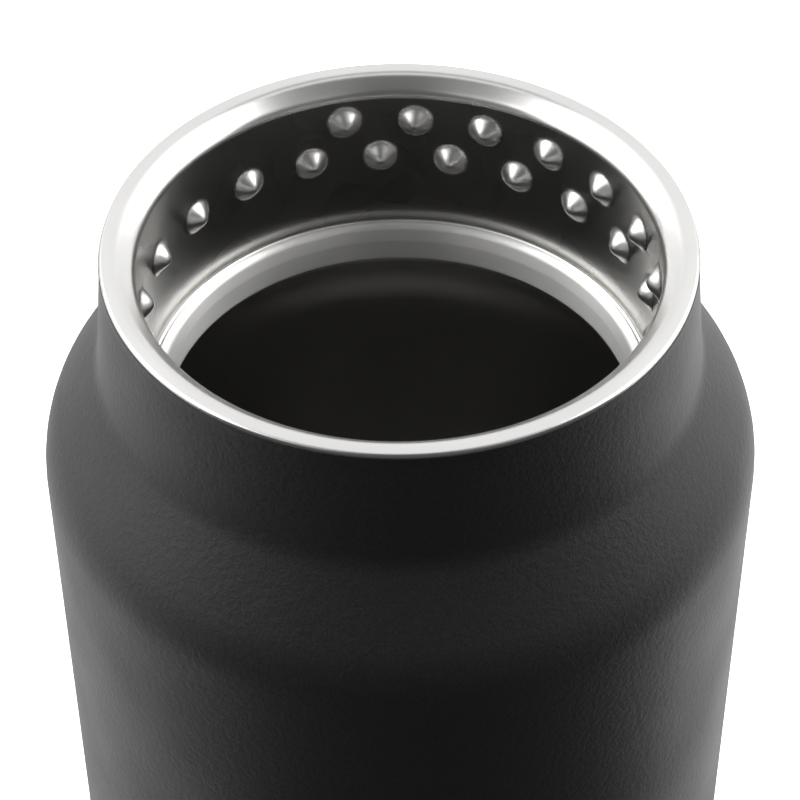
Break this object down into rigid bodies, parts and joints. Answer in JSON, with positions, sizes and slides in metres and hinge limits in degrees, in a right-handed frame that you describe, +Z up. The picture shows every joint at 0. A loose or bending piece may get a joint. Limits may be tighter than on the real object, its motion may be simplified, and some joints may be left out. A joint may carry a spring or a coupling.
{
  "type": "growler",
  "caption": "Open wide-mouth vacuum growler with a dark powder-coated shell, bright steel rim, dimpled internal thread and polished seal throat.",
  "frame": {"origin": "centre of the base, where the foot ring meets the table", "axes": "+Z up along the bottle's axis, out of the mouth; +Y is the far side of the mouth as first seen; bearings run clockwise from +Y seen from above"},
  "size_m": [0.1248, 0.1246, 0.242],
  "materials": {
    "powder_coat": "matt charcoal powder coat with a fine orange-peel grain",
    "rim_steel": "lip brushed round the rim, wall below it bright",
    "polished_steel": "electropolished",
    "bare_steel": "satin, as pressed",
    "copper_foil": "bright copper foil, finely creased",
    "seal_glass": "dark solder glass",
    "getter_alloy": "sintered grey",
    "pad_rubber": "matt black silicone"
  },
  "bodies": {
    "root": {"outer_shell": "powder_coat", "mouth_sleeve": "rim_steel", "inner_liner": "polished_steel", "liner_bottom": "polished_steel", "reflective_foil": "copper_foil", "shell_bottom": "bare_steel", "port_seal": "seal_glass", "getter_clip": "bare_steel", "getter_pellet": "getter_alloy", "base_cover": "bare_steel", "base_pad": "pad_rubber"}
  },
  "joints": []
}
